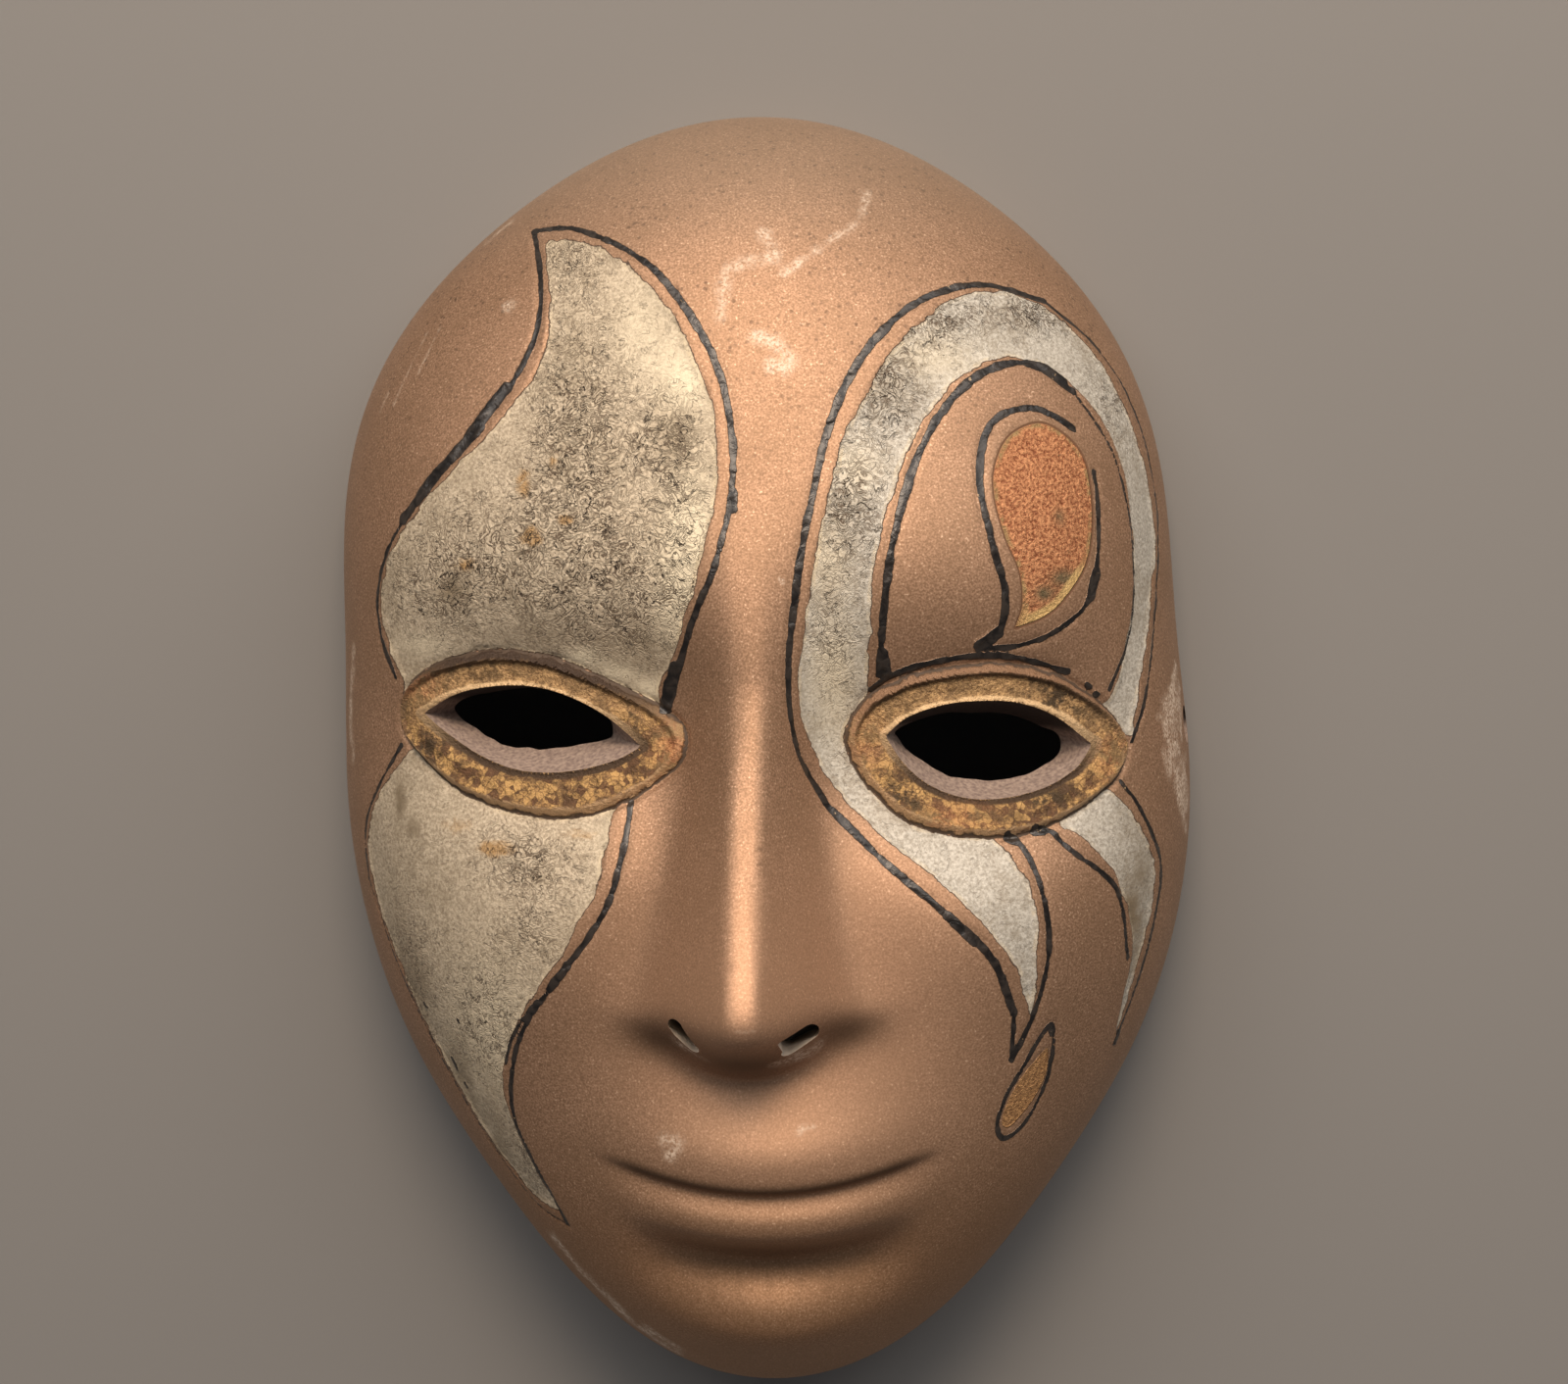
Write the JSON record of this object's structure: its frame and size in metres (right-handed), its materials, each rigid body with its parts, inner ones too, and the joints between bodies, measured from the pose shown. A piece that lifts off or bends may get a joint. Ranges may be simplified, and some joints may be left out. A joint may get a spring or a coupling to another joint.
{
  "type": "carnival mask",
  "caption": "Full-face carnival mask: a hollow ceramic shell with a smooth domed forehead, banded eye openings, a straight nose, a closed mouth and a flat back rim.",
  "frame": {"origin": "middle of the mask's outline, in the plane of the flat back rim it lies on", "axes": "+Y towards the crown, +Z out of the face, +X to the viewer's right"},
  "size_m": [0.1482, 0.22, 0.0825],
  "materials": {
    "bronze_painted_ceramic": "matt copper-bronze metallic paint on slip-cast ceramic, with recessed crackle-paint fields and glossy black line work"
  },
  "bodies": {
    "root": {"mask_shell": "bronze_painted_ceramic"}
  },
  "joints": []
}
